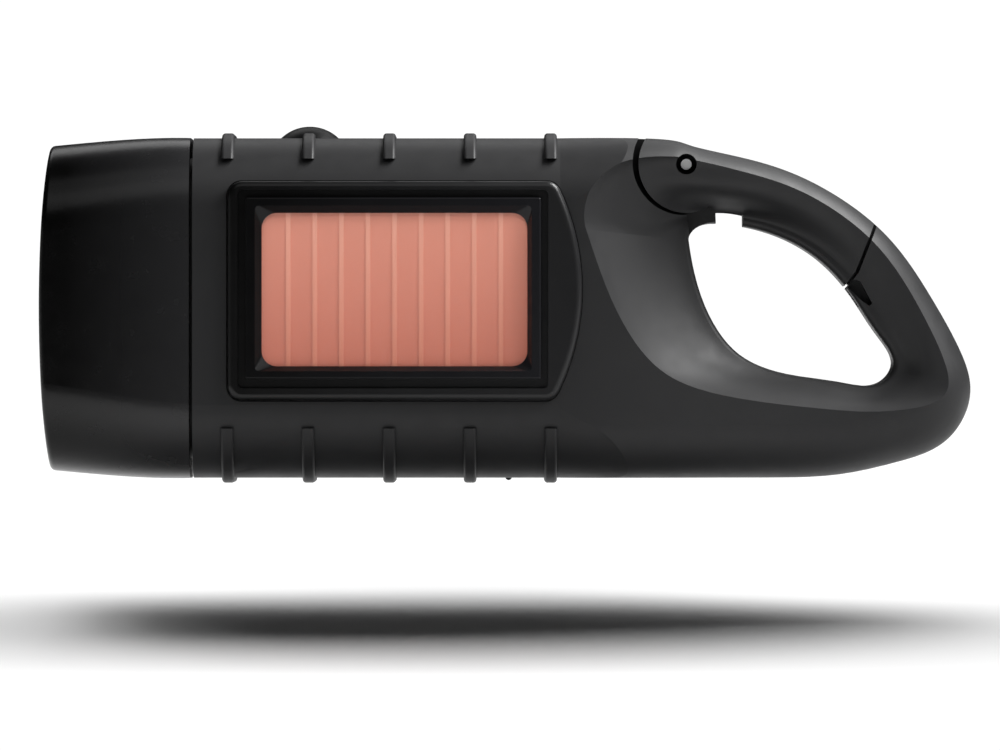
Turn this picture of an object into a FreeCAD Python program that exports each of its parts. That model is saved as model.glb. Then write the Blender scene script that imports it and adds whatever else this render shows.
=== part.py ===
"""Solar and hand-crank torch with a carabiner clip.

Frame: +X runs from the lamp head to the clip, the solar panel faces -Y, +Z is up.  The torch stands on
its lower ribs.  Everything is drawn about the parting plane of the case (y = 0) and moved once, on
writing, so that the origin is the middle of the footprint.
"""
import FreeCAD, Part
import math
import os

from FreeCAD import Vector as V

# ---- driving dimensions, mm ---------------------------------------------------------------------
LENGTH = 140.0          # lamp face to clip nose
HEAD_X = -LENGTH / 2    # front of the lamp head
COLLAR_X = -47.5        # back edge of the lamp head
SHELL_X = -47.0         # front edge of the case
NECK_X = SHELL_X - 5.4   # front edge of the neck under the lamp head
RIB_PROUD = 0.75        # how far the ribs stand off the case
BASE_Z = RIB_PROUD      # underside of the case, the ribs reach z = 0
TOP_Z = 51.8            # top of the case
HALF_DEPTH = 17.4       # parting plane to the flat front or back face
FACE_Y = -HALF_DEPTH    # the flat front face, and the front of the solar cell in it
EDGE_R = 11.0           # long rounded edges of the body
CLIP_EDGE_R = 8.0       # rounded edges of the clip
WALL = 2.0
NECK = 3.0              # the neck under the lamp head is this much smaller than the case
CAVITY_END = 9.5        # inner end of the hollow body
CLIP_X = 8.0            # the body ends and the clip starts to thin here

MID_Z = (BASE_Z + TOP_Z) / 2
HALF_HEIGHT = (TOP_Z - BASE_Z) / 2
INNER_Y = HALF_DEPTH - WALL

RIB_XS = [-41.8 + 12.1 * step for step in range(5)]
RIB_WIDTH = 1.9
RIB_TOP_REACH = 3.2     # how far a top rib runs down the face
RIB_LOW_REACH = 8.2     # how far a lower rib runs up the face

# solar panel, seen from the front: left, right, low, high
BEZEL_LEFT, BEZEL_LOW, BEZEL_HIGH = -41.9, 12.2, 45.3
BEZEL_BULGE = 11.4      # furthest point of the bezel's bowed right side
BEZEL_BOW_R = 35.4      # radius of that bow
BEZEL_BOW_Z = 29.0      # height of its furthest point
BEZEL_CORNER_R = 2.3
BEZEL_PROUD = 1.2
BEZEL_PLAY = 0.12       # gap between the bezel and its seat
BEZEL_SEAT = 1.1        # depth of the seat in the case
CHANNEL = (-40.2, 6.2, 14.2, 43.9)
FRAME_OUT = (-39.0, 5.1, 15.6, 42.7)
FRAME_IN = (-37.6, 3.7, 16.8, 41.5)
CELL = (-36.6, 3.1, 17.5, 40.4)
FRAME_PROUD = 1.5
CELL_R = 2.3            # rounded corners of the opening over the cell
FRAME_WALL = 0.7        # the cell and its cover lie this far inside the frame's outer edge
STRIPS = 10

# carabiner gate
PIN = V(26.94, 0, 47.81)
PIN_R = 0.8
PIN_END_Y = 10.8        # half length of the pin, its ends lie sunk in the gate
PIN_BORE_R = 1.55       # wide outer part of the pin's hole
PIN_BORE_Y = 8.0        # half distance between the floors of the two wide bores
HEEL_R = 7.2            # round heel of the gate, about its pin
SEAT_CENTRE = PIN + V(-0.35, 0, 0.2)   # the case's seat is rounder than the heel and set off from it
SEAT_R = 7.75
SLOT_Y = 2.4            # half width of the slot in the nose that takes the gate's tongue
HOOK_Y = 2.0            # half thickness of the gate's tongue and hook
TONGUE_Y = 4.0          # half thickness of the lug inside the gate
CHANNEL_Y = 4.4         # half width of the gate's channel
GAP = 0.35              # clearance where the gate swings past the case
LEDGE_R = 6.5           # the case fills the top of the heel's gap from here outward
CATCH_R = 31.0          # reach of the gate's tip tongue from the pin
EYE_RIM_Y = 6.2         # half thickness of the rim around the eye
EYE_EDGE_R = 1.0        # rounding of the eye's rim

# push button
BUTTON_X = -29.7
BUTTON_R = 4.4
BUTTON_TOP = 53.7
BUTTON_FOOT = 48.9      # underside of the button's flange
PLUNGER_TOP = 48.2      # where the button's stem meets the switch
SWITCH_TOP = 47.4
SWITCH_LOW = 44.0       # the switch stands on its board here

# hand crank and gears
CRANK = V(-17.0, 0, 26.4)
SPINDLE_R = 2.5
ARM_GAP = 1.2
ARM_THICK = 5.2
ARM_HALF_WIDTH = 5.5
KNOB_REACH = 18.5       # crank axis to the knob's fold
KNOB_R = 3.0
KNOB_Y = HALF_DEPTH + ARM_GAP + KNOB_R + 0.1
ARM_Y = HALF_DEPTH + ARM_GAP
MODULE = 0.5
CRANK_TEETH, STEP_PINION_TEETH, STEP_WHEEL_TEETH, ROTOR_TEETH = 44, 11, 40, 10
STEP_ANGLE = 150.0      # direction from the crank axis to the step gear
ROTOR_ANGLE = 260.0     # direction from the step gear to the rotor
BACKLASH = 0.12
RUNNING = 0.05          # radial clearance of a running fit

STEP_AXLE_R = 0.8
ROTOR_SHAFT_R = 0.75
PLATE_Y = 6.6           # front face of the gear plate
PLATE_BACK = PLATE_Y + 1.2
DYNAMO_Y = 0.2          # front face of the dynamo

# boards, battery and outlet
BOARD_Y = -13.4
BOARD_THICK = 1.2
BOARD_BACK = BOARD_Y + BOARD_THICK   # the parts and leads stand on this face
BOARD_POSTS = [(-35.5, 12.5), (0.0, 12.5), (-35.5, 39.0), (0.0, 39.0)]
BATTERY_X, BATTERY_Y, BATTERY_R = -1.0, -3.8, 7.5
BATTERY_LOW, BATTERY_HIGH = 14.0, 36.0
TAB_THICK = 0.3
PORT_HINGE = V(-2.9, 0, BASE_Z + 0.65)
PORT_X1 = 3.6
PORT_HALF_Y = 5.6
PORT_TOP = BASE_Z + 1.25
PORT_RIDGE_X = 0.3

# lead and screw sizes
LEAD_R = 0.45
SCREW_R = 1.0
SCREW_HEAD_R = 2.0
SCREW_LENGTH = 16.0
CASE_SCREWS = [(-41.8, 6.4), (-41.8, 46.2), (6.4, 6.4), (6.4, 46.2), (24.0, 7.4), (46.0, 5.6)]
PLATE_SCREWS = [(-41.0, 39.6), (-8.0, 41.0), (-12.0, 11.5)]

WINDOW_Y = FACE_Y - 0.5        # front of the clear cover over the cell


def polar(centre, radius, degrees):
    """A point at an angle about a centre, in the XZ plane."""
    angle = math.radians(degrees)
    return centre + V(radius * math.cos(angle), 0, radius * math.sin(angle))


STEP = polar(CRANK, MODULE * (CRANK_TEETH + STEP_PINION_TEETH) / 2, STEP_ANGLE)
ROTOR = polar(STEP, MODULE * (STEP_WHEEL_TEETH + ROTOR_TEETH) / 2, ROTOR_ANGLE)
FRONT_REACH = HALF_DEPTH + FRAME_PROUD
BACK_REACH = KNOB_Y + KNOB_R
TO_ORIGIN = V(0, (FRONT_REACH - BACK_REACH) / 2, 0)

ALONG_X, ALONG_Y, ALONG_Z = V(1, 0, 0), V(0, 1, 0), V(0, 0, 1)


# ---- small helpers ------------------------------------------------------------------------------
def at_y(point, y):
    return V(point.x, y, point.z)


def box(x0, x1, y0, y1, z0, z1):
    return Part.makeBox(x1 - x0, y1 - y0, z1 - z0, V(x0, y0, z0))


def rod(centre, radius, y0, y1):
    """A cylinder along Y."""
    return Part.makeCylinder(radius, y1 - y0, at_y(centre, y0), ALONG_Y)


def post(x, y, radius, z0, z1):
    """A cylinder along Z."""
    return Part.makeCylinder(radius, z1 - z0, V(x, y, z0), ALONG_Z)


def slab(points, y0, y1):
    """A prism between two Y planes from (x, z) corners."""
    corners = [V(x, y0, z) for x, z in points]
    face = Part.Face(Part.makePolygon(corners + corners[:1]))
    return face.extrude(V(0, y1 - y0, 0))


def slab_from(edges, y0, y1):
    """A prism between two Y planes from edges drawn at y = 0."""
    face = Part.Face(Part.Wire(edges))
    face.translate(V(0, y0, 0))
    return face.extrude(V(0, y1 - y0, 0))


def curve(points, start, end):
    """A smooth edge through (x, z) points that leaves and arrives in the given directions."""
    spline = Part.BSplineCurve()
    spline.interpolate(Points=[V(x, 0, z) for x, z in points], InitialTangent=start, FinalTangent=end)
    return spline.toShape()


def closed_curve(points):
    spline = Part.BSplineCurve()
    spline.interpolate(Points=points, PeriodicFlag=True)
    return Part.Wire([spline.toShape()])


def middle_of(edge):
    return edge.valueAt((edge.FirstParameter + edge.LastParameter) / 2)


def edges_along(shape, direction):
    """The straight edges parallel to a direction."""
    found = []
    for edge in shape.Edges:
        if isinstance(edge.Curve, Part.Line) and abs(edge.Curve.Direction.dot(direction)) > 0.999:
            found.append(edge)
    return found


def rounded_wire(centre, across, up, half_across, half_up, radius):
    """A closed rounded rectangle in the plane of two directions."""
    sharp = radius * (1 - math.sqrt(0.5))
    corners = []
    for side, height in ((1, 1), (-1, 1), (-1, -1), (1, -1)):
        places = [(half_across, half_up - radius), (half_across - sharp, half_up - sharp),
                  (half_across - radius, half_up)]
        arc = [centre + across * (side * u) + up * (height * v) for u, v in places]
        corners.append(arc if side * height > 0 else arc[::-1])
    edges = []
    for arc, following in zip(corners, corners[1:] + corners[:1]):
        edges.append(Part.Arc(*arc).toShape())
        edges.append(Part.makeLine(arc[2], following[0]))
    return Part.Wire(edges)


def section(x, inset, radius):
    """The case's cross-section at a station x, drawn in by an inset."""
    return rounded_wire(V(x, 0, MID_Z), ALONG_Y, ALONG_Z, HALF_DEPTH - inset, HALF_HEIGHT - inset, radius)


def bar(x0, x1, inset, radius):
    """A length of the case's cross-section."""
    return Part.Face(section(x0, inset, radius)).extrude(V(x1 - x0, 0, 0))


def window_wire(sides, y, radius):
    """A rounded rectangle facing the front; sides are left, right, low, high."""
    x0, x1, z0, z1 = sides
    centre = V((x0 + x1) / 2, y, (z0 + z1) / 2)
    return rounded_wire(centre, ALONG_X, ALONG_Z, (x1 - x0) / 2, (z1 - z0) / 2, radius)


def tube_along(points, radius, bend):
    """A round lead along straight runs joined by tangent arcs."""
    edges = []
    here = points[0]
    for before, corner, after in zip(points, points[1:], points[2:]):
        into = (corner - before).normalize()
        out = (after - corner).normalize()
        half_turn = into.getAngle(out) / 2
        setback = bend * math.tan(half_turn)
        start = corner - into * setback
        end = corner + out * setback
        inward = (out - into).normalize()
        middle = corner + inward * (bend / math.cos(half_turn) - bend)
        edges.append(Part.makeLine(here, start))
        edges.append(Part.Arc(start, middle, end).toShape())
        here = end
    edges.append(Part.makeLine(here, points[-1]))
    spine = Part.Wire(edges)
    ring = Part.Wire([Part.makeCircle(radius, points[0], points[1] - points[0])])
    return spine.makePipeShell([ring], True, False)


def coil(centre, axis, radius, wire, length, turns):
    """A round-wire spring along an axis."""
    helix = Part.makeHelix(length / turns, length, radius)
    ring = Part.Wire([Part.makeCircle(wire, V(radius, 0, 0), V(0, 1, 0.15))])
    spring = Part.Wire(helix).makePipeShell([ring], True, True)
    spring.Placement = FreeCAD.Placement(centre, FreeCAD.Rotation(ALONG_Z, axis))
    return spring


def largest(shape):
    return max(shape.Solids, key=lambda solid: solid.Volume)


# ---- case ---------------------------------------------------------------------------------------
def side_outline():
    """Outline of the case seen from the front: straight body, round clip end."""
    clip = curve([(40, BASE_Z), (50.4, 1.25), (59, 3.1), (66.3, 6.3), (70.0, 13.9), (68.2, 20.4),
                  (64.3, 27.5), (57.5, 37.0), (48.2, 44.1), (38.3, 48.2), (28.0, 50.6), (16, TOP_Z)],
                 V(1, 0, 0), V(-1, 0, 0))
    return [
        Part.makeLine(V(SHELL_X, 0, BASE_Z), V(40, 0, BASE_Z)),
        clip,
        Part.makeLine(V(16, 0, TOP_Z), V(SHELL_X, 0, TOP_Z)),
        Part.makeLine(V(SHELL_X, 0, TOP_Z), V(SHELL_X, 0, BASE_Z)),
    ]


def top_outline():
    """Outline seen from above: a straight body that thins towards the clip."""
    stations = [(CLIP_X, HALF_DEPTH), (22, 16.0), (40, 12.2), (56, 9.6), (71, 8.2)]
    edges = []
    for side in (-1, 1):
        spline = Part.BSplineCurve()
        spline.interpolate(Points=[V(x, side * y, 0) for x, y in stations],
                           InitialTangent=ALONG_X, FinalTangent=V(1, -0.08 * side, 0))
        edges.append(spline.toShape())
    for side in (-1, 1):
        edges.append(Part.makeLine(V(SHELL_X, side * HALF_DEPTH, 0), V(CLIP_X, side * HALF_DEPTH, 0)))
    edges.append(Part.makeLine(V(71, -8.2, 0), V(71, 8.2, 0)))
    edges.append(Part.makeLine(V(SHELL_X, -HALF_DEPTH, 0), V(SHELL_X, HALF_DEPTH, 0)))
    return Part.Wire(Part.__sortEdges__(edges))


def corner_sleeve():
    """A sleeve that hands the body's rounder corners over to the clip's: it opens as it goes."""
    stations = [(CLIP_X, 0.0, EDGE_R), (CLIP_X + 32, -1.2, 9.5), (80.0, -3.0, 9.5)]
    return Part.makeLoft([section(x, inset, radius) for x, inset, radius in stations], True, True)


def envelope():
    """The case as one rounded solid, before the clip's bowl and eye are cut."""
    from_front = slab_from(side_outline(), -30, 30)
    from_above = Part.Face(top_outline()).extrude(V(0, 0, 60))
    rough = from_front.common(from_above)
    lengthwise = [edge for edge in rough.Edges if edge.BoundBox.XLength > 0.01]
    corners = [edge for edge in lengthwise if abs(middle_of(edge).y) > 7.5]
    clip = rough.makeFillet(CLIP_EDGE_R, corners).common(box(CLIP_X, 80, -30, 30, -5, 60))
    return bar(SHELL_X, CLIP_X, 0.0, EDGE_R).fuse(clip.common(corner_sleeve()))


EYE = [(27.4, 36.4), (28.3, 31.4), (31.0, 24.2), (35.0, 19.3), (42.0, 16.4), (50.4, 15.1), (56.4, 15.2),
       (58.1, 17.4), (55.8, 22.4), (52.2, 27.8), (46.4, 34.0), (40.0, 37.4), (32.2, 39.0), (28.6, 38.4)]
CREST = [(13.6, 37.8), (15.5, 31.5), (19.0, 23.2), (23.9, 17.0), (34.0, 12.9), (47.5, 10.9), (61.0, 11.3),
         (66.9, 14.4), (66.3, 21.8), (61.6, 31.8), (54.4, 40.2), (42.9, 46.5), (27.5, 48.2), (16.8, 46.0)]
FLANGED = [0, 0, 0, 0, 0, 0, 0.1, 0.8, 1, 1, 1, 1, 1, 0.4]   # where the eye has a flat rim strip
# how far in from the crest, and how far down the scoop is there, as a bowl and with a rim strip
SCOOP_STEPS = [(0.0, 0.0, 0.0), (0.3, 0.38, 0.12), (0.52, 0.62, 0.42), (0.7, 0.80, 1.0), (1.0, 1.0, 1.0)]
FLARE, FLARE_LIFT = -0.2, 3.0   # the scoop carries on outward past its crest, and rises


def crest_y(x, z):
    """Height of the scoop's crest above the parting plane: it falls towards the nose and the top."""
    return 17.3 - (x - 12.0) * 0.17 - (z - 10.0) * 0.06


def between(crest, eye, share):
    """The (x, z) point a share of the way from a crest point to its eye point."""
    return (crest[0] + (eye[0] - crest[0]) * share, crest[1] + (eye[1] - crest[1]) * share)


def flare_ring(side):
    """The scoop's mouth, outside its crest."""
    ring = []
    for crest, eye in zip(CREST, EYE):
        x, z = between(crest, eye, FLARE)
        ring.append(V(x, side * (crest_y(x, z) + FLARE_LIFT), z))
    return ring


def scoop_ring(side, share, bowl_sink, flange_sink):
    """Points of the scoop a share of the way from the crest to the eye."""
    ring = []
    for crest, eye, flanged in zip(CREST, EYE, FLANGED):
        x, z = between(crest, eye, share)
        height = crest_y(*crest)
        sink = bowl_sink + (flange_sink - bowl_sink) * flanged
        ring.append(V(x, side * (height + (EYE_RIM_Y - height) * sink), z))
    return ring


def bowl(side):
    """The scooped face around the eye on one side of the clip."""
    rings = [flare_ring(side)] + [scoop_ring(side, *step) for step in SCOOP_STEPS]
    outer = [V(p.x, side * 30.0, p.z) for p in rings[0]]
    scoop = Part.makeLoft([closed_curve(ring) for ring in rings], True, False)
    above = Part.makeLoft([closed_curve(outer), closed_curve(rings[0])], True, True)
    return [scoop, above]


def eye_cutter():
    ring = closed_curve([V(x, -20, z) for x, z in EYE])
    return Part.Face(ring).extrude(V(0, 40, 0))


def clip_solid():
    """The whole case with the bowl scooped on both faces and the eye cut through, its rim rounded."""
    cutters = bowl(-1) + bowl(1) + [eye_cutter()]
    clip = largest(envelope().cut(cutters))
    loops = [edge for edge in clip.Edges if edge.Length > 50]
    rims = [edge for edge in loops if abs(abs(middle_of(edge).y) - EYE_RIM_Y) < 0.01]
    return clip.makeFillet(EYE_EDGE_R, rims)


# ---- carabiner gate -----------------------------------------------------------------------------
TIP_LINE = [(49.8, 28.2), (52.5, 31.8), (54.2, 36.2), (57.6, 44.4)]
TIP_GAP = V(0.47, 0, -0.17)


def gate_outline(centre, heel_r, last_angle, tip_shift, corner_x):
    """The stretch of the clip that belongs to the gate: round heel, through the eye, tip line."""
    first_angle = 118.0
    start = polar(centre, heel_r, first_angle)
    end = polar(centre, heel_r, last_angle)
    heel = Part.Arc(start, polar(centre, heel_r, (first_angle + last_angle) / 2), end).toShape()
    inside = [V(corner_x, 0, 37.0), V(44.0, 0, 27.0)]
    tip = [V(x, 0, z) + tip_shift for x, z in TIP_LINE]
    beyond = [V(57.6, 0, 62.0), V(start.x, 0, 62.0)]
    places = [end] + inside + tip + beyond + [start]
    return [heel] + [Part.makeLine(a, b) for a, b in zip(places, places[1:])]


def pin_sector(inner_r, outer_r, from_angle, to_angle, half_y):
    """Part of a ring about the gate's pin, between two angles."""
    far = 2 * outer_r
    corners = [PIN, polar(PIN, far, from_angle), polar(PIN, far, to_angle)]
    wedge = slab([(corner.x, corner.z) for corner in corners], -half_y, half_y)
    return wedge.common(rod(PIN, outer_r, -half_y, half_y)).cut(rod(PIN, inner_r, -half_y, half_y))


def gate_lug():
    """The lug of the case that stands inside the gate and carries its pin."""
    profile = [(12, 37), (12, 49.0), (25.6, 49.4), (28.2, 48.6), (28.5, 47.2), (27.9, 43.0), (31.4, 41.8),
               (31.6, 37)]
    lug = slab(profile, -TONGUE_Y, TONGUE_Y).fuse(rod(PIN, 1.8, -TONGUE_Y, TONGUE_Y))
    return lug.fuse(pin_sector(LEDGE_R, SEAT_R + 1.0, 140, 186, TONGUE_Y))


def nose_room():
    """The slot in the clip's nose that the gate's tongue drops into, and the pockets beside it."""
    slot = slab([(54.6, 33.6), (55.5, 30.6), (54.9, 28.7), (51.6, 24.5), (46.0, 27.0), (49.0, 34.0)],
                -SLOT_Y, SLOT_Y)
    pocket = [(51.4, 30.9), (53.2, 30.3), (55.0, 27.0), (54.6, 26.6), (53.4, 27.4), (51.4, 29.3)]
    swing = pin_sector(28.0, CATCH_R + GAP, -45, 0, SLOT_Y)
    return [slot, swing, slab(pocket, 3.4, 9.0), slab(pocket, -9.0, -3.4)]


def gate_space():
    """Everything cut from the case to make room for the gate."""
    zone = slab_from(gate_outline(SEAT_CENTRE, SEAT_R, 274.0, TIP_GAP, 27.5), -25, 25)
    return zone.cut(gate_lug()).fuse(nose_room())


def gate():
    clip = clip_solid()
    zone = slab_from(gate_outline(PIN, HEEL_R, 300.0, V(0, 0, 0), 32.6), -25, 25)
    channel = slab([(16, 36), (16, 49.4), (27.0, 49.85), (35.6, 47.0), (35.6, 36)], -CHANNEL_Y, CHANNEL_Y)
    shape = clip.common(zone).cut([channel, pin_sector(LEDGE_R - 0.3, 2 * HEEL_R, 125, 200, CHANNEL_Y)])
    hook = slab([(50.0, 33.4), (52.6, 33.0), (54.4, 30.5), (53.9, 29.0), (53.1, 28.4), (51.0, 30.2)],
                -HOOK_Y, HOOK_Y)
    tongue = clip.common(pin_sector(28.6, CATCH_R, -33, -4, HOOK_Y))
    shape = largest(shape).fuse([hook, tongue]).removeSplitter()
    holes = [rod(PIN, PIN_R + RUNNING, -25, 25)]
    holes += [rod(PIN, PIN_BORE_R, -25, -PIN_BORE_Y), rod(PIN, PIN_BORE_R, PIN_BORE_Y, 25)]
    return largest(shape.cut(holes))


def gate_pin():
    return rod(PIN, PIN_R, -PIN_END_Y, PIN_END_Y)


def gate_spring():
    return coil(V(28.8, 0, 44.8), ALONG_X, 1.3, 0.25, 6.2, 7)


# ---- case halves --------------------------------------------------------------------------------
def ribs():
    """Grip ribs around the top and bottom corners of the body."""
    bars = []
    for x in RIB_XS:
        rib = bar(x - RIB_WIDTH / 2, x + RIB_WIDTH / 2, -RIB_PROUD, EDGE_R + RIB_PROUD)
        rims = [edge for edge in rib.Edges if edge.BoundBox.XLength < 0.01]
        rib = rib.makeFillet(0.5, rims)
        bars.append(rib.common(box(-80, 20, -30, 30, TOP_Z - RIB_TOP_REACH, 70)))
        bars.append(rib.common(box(-80, 20, -30, 30, -5, RIB_LOW_REACH)))
    button_room = post(BUTTON_X, 0, BUTTON_R + 1.0, 40, 70)
    return [rib.cut(button_room) for rib in bars]


def neck():
    """The step of the case that the lamp head slides over."""
    return bar(NECK_X, SHELL_X + 1.0, NECK, EDGE_R - NECK)


def bezel_plate(inset, y0, y1):
    """The bezel's plate: three straight sides and a bowed right side."""
    left, low, high = BEZEL_LEFT + inset, BEZEL_LOW + inset, BEZEL_HIGH - inset
    bow_r = BEZEL_BOW_R - inset
    bow_x = BEZEL_BULGE - BEZEL_BOW_R

    def bow_at(z):
        return V(bow_x + math.sqrt(bow_r ** 2 - (z - BEZEL_BOW_Z) ** 2), y0, z)

    top, bottom = bow_at(high), bow_at(low)
    edges = [
        Part.makeLine(V(left, y0, low), V(left, y0, high)),
        Part.makeLine(V(left, y0, high), top),
        Part.Arc(top, bow_at(BEZEL_BOW_Z), bottom).toShape(),
        Part.makeLine(bottom, V(left, y0, low)),
    ]
    plate = Part.Face(Part.Wire(edges)).extrude(V(0, y1 - y0, 0))
    return plate.makeFillet(BEZEL_CORNER_R, edges_along(plate, ALONG_Y))


def port_room():
    """Seat of the outlet's rubber cover, its hinge roll and the socket's hole."""
    seat = box(PORT_HINGE.x, PORT_X1 + 0.15, -PORT_HALF_Y - 0.15, PORT_HALF_Y + 0.15, 0, PORT_TOP + 0.1)
    roll = Part.makeCylinder(0.8, 2 * PORT_HALF_Y + 0.3, PORT_HINGE - V(0, PORT_HALF_Y + 0.15, 0), ALONG_Y)
    hole = box(-0.85, 2.05, -3.95, 3.95, 0, 3.5)
    return [seat, roll, hole]


def boss(x, z, y0, y1):
    return rod(V(x, 0, z), 2.8, y0, y1)


def case():
    """The whole case as one solid: outer form, hollow body, seats and bosses."""
    shape = clip_solid().cut(gate_space()).fuse(ribs() + [neck()])
    hollow = [
        bar(SHELL_X + 2.0, CAVITY_END, WALL, EDGE_R - WALL),
        bar(SHELL_X - 10, SHELL_X + 3.0, NECK + 1.6, 4.0),
    ]
    shape = shape.cut(hollow)
    inside = bar(SHELL_X + 2.0, CAVITY_END, WALL - 0.5, EDGE_R - WALL + 0.5)
    solids = [boss(x, z, -INNER_Y, INNER_Y) for x, z in CASE_SCREWS if x < CAVITY_END]
    solids += [rod(V(x, 0, z), 2.0, PLATE_BACK, INNER_Y) for x, z in PLATE_SCREWS]
    solids += [rod(V(x, 0, z), 2.0, -INNER_Y, BOARD_Y) for x, z in BOARD_POSTS]
    solids += [rod(STEP, 1.9, 14.2, INNER_Y)]
    solids += [box(BUTTON_X - 6.2, BUTTON_X + 6.2, -INNER_Y, -5.2, 42.2, 43.0)]
    shape = shape.fuse([solid.common(inside) for solid in solids])
    shape = shape.cut(case_holes())
    return largest(shape)


def case_holes():
    holes = [
        bezel_plate(0.0, -30, FACE_Y + BEZEL_SEAT),
        box(-36, -29, -20, -10, 27, 31),
        post(BUTTON_X, 0, BUTTON_R + 0.2, 45, 70),
        rod(CRANK, 4.0, 5, 30),
        rod(STEP, STEP_AXLE_R, 12, 15.0),
        rod(PIN, PIN_R, -20, 20),
    ]
    holes += port_room()
    for x, z in CASE_SCREWS:
        seat = screw_seat(x)
        holes.append(rod(V(x, 0, z), SCREW_R, seat - SCREW_LENGTH - 0.5, seat))
        holes.append(rod(V(x, 0, z), SCREW_HEAD_R + 0.3, seat, 30))
    for x, z in PLATE_SCREWS:
        holes.append(rod(V(x, 0, z), 0.8, PLATE_Y, 13.0))
    return holes


def screw_seat(x):
    """How deep the head of a case screw sits: shallower where the clip is thin."""
    return 13.0 if x < CAVITY_END else crest_y(x, BASE_Z) - 4.2


def case_half(whole, side):
    half = box(-90, 90, 0, 40, -10, 80) if side > 0 else box(-90, 90, -40, 0, -10, 80)
    return largest(whole.common(half))


def shell_screws():
    screws = []
    for x, z in CASE_SCREWS:
        seat = screw_seat(x)
        place = V(x, 0, z)
        head = rod(place, SCREW_HEAD_R, seat, seat + 1.4)
        slot = box(x - 1.4, x + 1.4, seat + 0.8, seat + 2, z - 0.3, z + 0.3)
        screws.append(rod(place, SCREW_R, seat - SCREW_LENGTH, seat).fuse(head).cut(slot))
    return Part.Compound(screws)


# ---- solar panel --------------------------------------------------------------------------------
SEAT_Y = FACE_Y + BEZEL_SEAT


def plate(sides, y0, y1, radius):
    return Part.Face(window_wire(sides, y0, radius)).extrude(V(0, y1 - y0, 0))


def grown(sides, extra):
    x0, x1, z0, z1 = sides
    return (x0 - extra, x1 + extra, z0 - extra, z1 + extra)


def under_frame():
    """Sides of the pocket behind the frame, which holds the cell and its cover."""
    return grown(FRAME_OUT, -FRAME_WALL)


def front_rim(shape, front):
    """The edges that lie in a shape's front face."""
    return [edge for edge in shape.Edges if edge.BoundBox.YMax < front + 0.01]


def solar_bezel():
    front = FACE_Y - BEZEL_PROUD
    shape = bezel_plate(BEZEL_PLAY, front, SEAT_Y)
    shape = shape.makeFillet(1.0, front_rim(shape, front))
    return shape.cut([plate(CHANNEL, front - 1, front + 0.8, 0.8), plate(FRAME_OUT, -30, 0, 0.3)])


def panel_frame():
    front = FACE_Y - FRAME_PROUD
    shape = plate(FRAME_OUT, front, SEAT_Y, 0.3)
    shape = shape.makeFillet(0.25, front_rim(shape, front))
    mouth = window_wire(grown(FRAME_IN, 0.1), front - 0.1, 0.5)
    floor = window_wire(CELL, WINDOW_Y, CELL_R)
    funnel = Part.makeLoft([mouth, floor], True, True)
    pocket = plate(under_frame(), WINDOW_Y, SEAT_Y, 0.3)
    return shape.cut([funnel, pocket])


def panel_window():
    return plate(under_frame(), WINDOW_Y, FACE_Y - 0.1, 0.3)


def solar_cell():
    return plate(under_frame(), FACE_Y, SEAT_Y, 0.3)


def cell_fingers():
    x0, x1, z0, z1 = CELL
    pitch = (x1 - x0) / STRIPS
    lines = []
    for number in range(1, STRIPS):
        x = x0 + pitch * number
        lines.append(box(x - 0.35, x + 0.35, FACE_Y - 0.1, FACE_Y, z0 - 0.4, z1 + 0.4))
    return Part.Compound(lines)


# ---- lamp head ----------------------------------------------------------------------------------
CROWN_R = 222.0         # the head's face is gently crowned from top to bottom
LENS_X = HEAD_X + 2.6   # front of the lens
LENS_THICK = 1.8
LED_BOARD_THICK = 1.2
LED_BOARD_X = NECK_X - LED_BOARD_THICK
BOWL_PITCH = 14.0
LAMP_ZS = [MID_Z + BOWL_PITCH * step for step in (-1, 0, 1)]


def head_bezel():
    stations = [(HEAD_X - 1.0, 1.35, 13.0), (HEAD_X + 9.0, 0.45, 12.5), (COLLAR_X - 4.5, -0.05, 11.6),
                (COLLAR_X, -0.05, 11.2)]
    outer = Part.makeLoft([section(x, inset, radius) for x, inset, radius in stations], True, False)
    crown = Part.makeCylinder(CROWN_R, 80, V(HEAD_X + CROWN_R, -40, MID_Z), ALONG_Y)
    shape = outer.common(crown)
    rim = [edge for edge in shape.Edges if edge.BoundBox.XMax < HEAD_X + 3]
    shape = shape.makeFillet(0.9, rim)
    return shape.cut([
        bar(HEAD_X - 5, COLLAR_X, 5.2, 5.0),
        bar(LENS_X - 0.8, COLLAR_X, 3.9, 5.0),
        bar(NECK_X, COLLAR_X + 1, NECK - 0.05, EDGE_R - NECK),
    ])


def front_lens():
    return bar(LENS_X, LENS_X + LENS_THICK, 3.95, 5.0)


def lens_seal():
    ring = bar(LENS_X - 0.8, LENS_X, 3.95, 5.0)
    return ring.cut(bar(LENS_X - 1, LENS_X + 1, 5.3, 4.5))


def reflector():
    front = LENS_X + LENS_THICK
    shape = bar(front, front + 1.0, 4.0, 5.0)
    depth = LED_BOARD_X - 1.2 - front
    for z in LAMP_ZS:
        shape = shape.fuse(Part.makeCone(6.9, 3.6, depth, V(front, 0, z), ALONG_X))
    for z in LAMP_ZS:
        shape = shape.cut(Part.makeCone(6.4, 2.7, depth + 0.01, V(front, 0, z), ALONG_X))
    return shape


def leds():
    lamps = []
    for z in LAMP_ZS:
        body = Part.makeCylinder(2.4, 6.2, V(LED_BOARD_X - 6.2, 0, z), ALONG_X)
        dome = Part.makeSphere(2.4, V(LED_BOARD_X - 6.2, 0, z))
        flange = Part.makeCylinder(2.8, 1.0, V(LED_BOARD_X - 1.0, 0, z), ALONG_X)
        lamps.append(body.fuse([dome, flange]).removeSplitter())
    return Part.Compound(lamps)


def led_board():
    return bar(LED_BOARD_X, NECK_X, 4.2, 4.8)


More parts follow.
